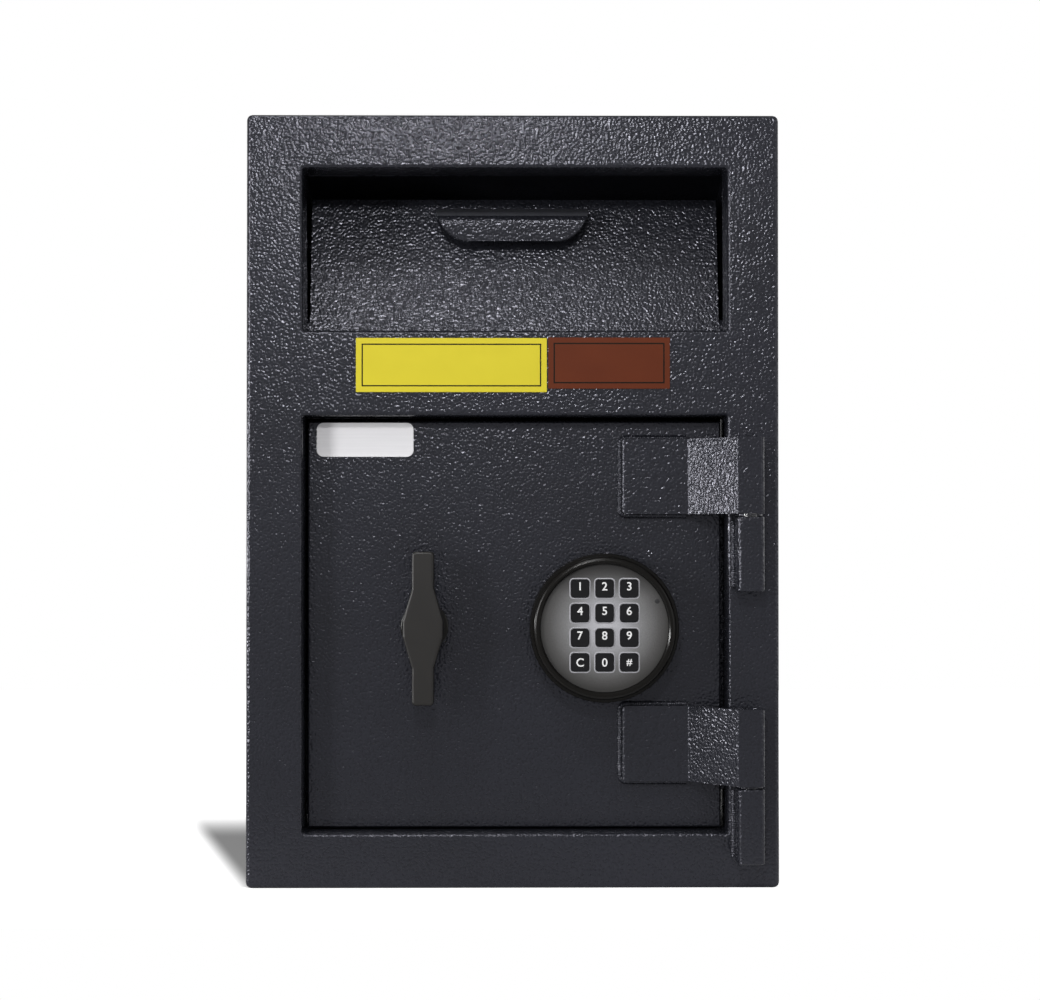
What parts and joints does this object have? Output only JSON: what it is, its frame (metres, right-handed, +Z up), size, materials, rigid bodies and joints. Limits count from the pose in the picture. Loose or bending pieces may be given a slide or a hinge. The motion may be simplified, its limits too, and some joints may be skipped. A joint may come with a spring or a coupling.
{
  "type": "drop safe with deposit hopper",
  "caption": "Steel drop safe: a tilt-out deposit hopper with a curved hood above a strap-hinged door with keypad, handle and sliding locking bolts.",
  "frame": {"origin": "middle of the base on the floor, midway between the body's sides and between its front face and its back", "axes": "+Z up, +X to the right as one faces the door, +Y to the back, so the door faces -Y"},
  "size_m": [0.35, 0.378, 0.508],
  "materials": {
    "charcoal_paint": "crinkled charcoal powder coat",
    "handle_paint": "matte warm dark grey",
    "bright_steel": "turned bright steel",
    "zinc_plate": "zinc plated steel",
    "lock_casting": "die cast grey metal",
    "keypad_housing": "satin black moulding",
    "brushed_face": "radially shaded brushed silver",
    "circuit_board": "green solder mask",
    "key_plastic": "near-black rubber-soft key"
  },
  "bodies": {
    "body": {"body_wrap": "charcoal_paint", "front_frame": "charcoal_paint", "back_plate": "charcoal_paint", "hopper_hood": "charcoal_paint", "hopper_side_left": "charcoal_paint", "hopper_side_right": "charcoal_paint", "hinge_knuckle_upper": "charcoal_paint", "hinge_knuckle_lower": "charcoal_paint", "hinge_pin_upper": "bright_steel", "hinge_pin_lower": "bright_steel", "hinge_washer_upper": "bright_steel", "hinge_washer_lower": "bright_steel"},
    "door": {"door_plate": "charcoal_paint", "hinge_strap_upper": "charcoal_paint", "hinge_strap_lower": "charcoal_paint", "dead_bar": "zinc_plate", "bolt_guide": "zinc_plate", "carriage_stud_upper": "bright_steel", "carriage_stud_lower": "bright_steel", "lock_body": "lock_casting", "handle_collar": "handle_paint", "keypad_base": "keypad_housing", "keypad_bezel": "keypad_housing", "keypad_face": "brushed_face", "keypad_board": "circuit_board"},
    "handle": {"handle_blade": "handle_paint", "handle_spindle": "bright_steel", "handle_crank": "zinc_plate", "crank_nut": "zinc_plate"},
    "boltwork": {"bolt_carriage": "zinc_plate", "locking_bolt_lower": "bright_steel", "locking_bolt_middle": "bright_steel", "locking_bolt_upper": "bright_steel", "bolt_nut_lower": "zinc_plate", "bolt_nut_middle": "zinc_plate", "bolt_nut_upper": "zinc_plate"},
    "latch": {"lock_latch": "bright_steel"},
    "hopper": {"hopper_tray": "charcoal_paint", "hopper_pull": "charcoal_paint", "hopper_cheek_left": "charcoal_paint", "hopper_cheek_right": "charcoal_paint", "hopper_pin_left": "bright_steel", "hopper_pin_right": "bright_steel"},
    "key_1": {"key_1": "key_plastic"},
    "key_2": {"key_2": "key_plastic"},
    "key_3": {"key_3": "key_plastic"},
    "key_4": {"key_4": "key_plastic"},
    "key_5": {"key_5": "key_plastic"},
    "key_6": {"key_6": "key_plastic"},
    "key_7": {"key_7": "key_plastic"},
    "key_8": {"key_8": "key_plastic"},
    "key_9": {"key_9": "key_plastic"},
    "key_clear": {"key_clear": "key_plastic"},
    "key_0": {"key_0": "key_plastic"},
    "key_hash": {"key_hash": "key_plastic"}
  },
  "joints": [
    {"name": "door_swing", "type": "hinge", "parent": "body", "child": "door", "pos_m": [0.1544, -0.1895, 0], "axis": [0, 0, 1], "range_deg": [0, 105]},
    {"name": "handle_turn", "type": "hinge", "parent": "door", "child": "handle", "pos_m": [-0.0586, -0.158, 0.1705], "axis": [0, -1, 0], "range_deg": [0, 60]},
    {"name": "bolt_throw", "type": "slide", "parent": "door", "child": "boltwork", "axis": [-1, 0, 0], "range_m": [0, 0.028]},
    {"name": "latch_slide", "type": "slide", "parent": "door", "child": "latch", "axis": [0, 0, 1], "range_m": [0, 0.009]},
    {"name": "hopper_tilt", "type": "hinge", "parent": "body", "child": "hopper", "pos_m": [0, -0.126, 0.37], "axis": [1, 0, 0], "range_deg": [0, 58]},
    {"name": "key_1_press", "type": "slide", "parent": "door", "child": "key_1", "axis": [0, 1, 0], "range_m": [0, 0.001], "stiffness_N_per_m": 300},
    {"name": "key_2_press", "type": "slide", "parent": "door", "child": "key_2", "axis": [0, 1, 0], "range_m": [0, 0.001], "stiffness_N_per_m": 300},
    {"name": "key_3_press", "type": "slide", "parent": "door", "child": "key_3", "axis": [0, 1, 0], "range_m": [0, 0.001], "stiffness_N_per_m": 300},
    {"name": "key_4_press", "type": "slide", "parent": "door", "child": "key_4", "axis": [0, 1, 0], "range_m": [0, 0.001], "stiffness_N_per_m": 300},
    {"name": "key_5_press", "type": "slide", "parent": "door", "child": "key_5", "axis": [0, 1, 0], "range_m": [0, 0.001], "stiffness_N_per_m": 300},
    {"name": "key_6_press", "type": "slide", "parent": "door", "child": "key_6", "axis": [0, 1, 0], "range_m": [0, 0.001], "stiffness_N_per_m": 300},
    {"name": "key_7_press", "type": "slide", "parent": "door", "child": "key_7", "axis": [0, 1, 0], "range_m": [0, 0.001], "stiffness_N_per_m": 300},
    {"name": "key_8_press", "type": "slide", "parent": "door", "child": "key_8", "axis": [0, 1, 0], "range_m": [0, 0.001], "stiffness_N_per_m": 300},
    {"name": "key_9_press", "type": "slide", "parent": "door", "child": "key_9", "axis": [0, 1, 0], "range_m": [0, 0.001], "stiffness_N_per_m": 300},
    {"name": "key_clear_press", "type": "slide", "parent": "door", "child": "key_clear", "axis": [0, 1, 0], "range_m": [0, 0.001], "stiffness_N_per_m": 300},
    {"name": "key_0_press", "type": "slide", "parent": "door", "child": "key_0", "axis": [0, 1, 0], "range_m": [0, 0.001], "stiffness_N_per_m": 300},
    {"name": "key_hash_press", "type": "slide", "parent": "door", "child": "key_hash", "axis": [0, 1, 0], "range_m": [0, 0.001], "stiffness_N_per_m": 300}
  ],
  "couplings": [
    {"joint": "bolt_throw", "follows": "handle_turn", "m_per_rad": 0.026738}
  ]
}
